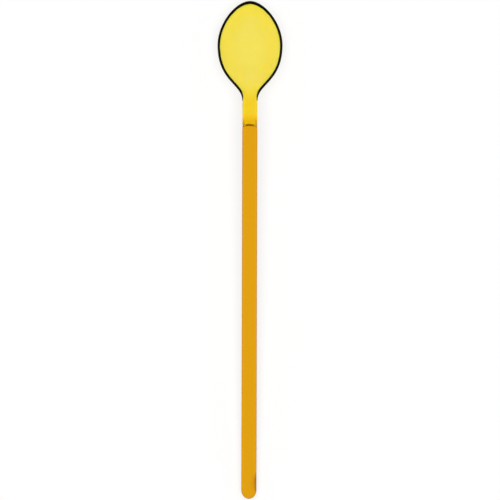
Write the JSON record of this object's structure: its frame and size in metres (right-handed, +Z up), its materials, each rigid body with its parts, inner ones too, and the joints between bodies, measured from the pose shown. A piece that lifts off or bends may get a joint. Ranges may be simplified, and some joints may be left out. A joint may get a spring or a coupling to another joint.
{
  "type": "dessert spoon",
  "caption": "Slim long-handled dessert spoon with an egg-shaped translucent bowl, a dark soft lip round its edge and a straight amber bar handle bonded behind the neck.",
  "frame": {"origin": "On the table under the middle of the spoon's length, on its centre line, with the spoon lying bowl up.", "axes": "+Y runs along the spoon to the tip of the bowl, +X runs across it and +Z points up out of the hollow of the bowl."},
  "size_m": [0.0262, 0.2, 0.0127],
  "materials": {
    "bowl_plastic": "polished translucent lemon yellow, deeper where it is thick",
    "edge_rubber": "near-black soft moulded edge",
    "seal_rubber": "dark brown, matte",
    "handle_plastic": "smooth amber, even colour",
    "bond_resin": "cured pale resin"
  },
  "bodies": {
    "root": {"bowl": "bowl_plastic", "edge_band": "edge_rubber", "joint_seal": "seal_rubber", "handle": "handle_plastic", "tang_bond": "bond_resin"}
  },
  "joints": []
}
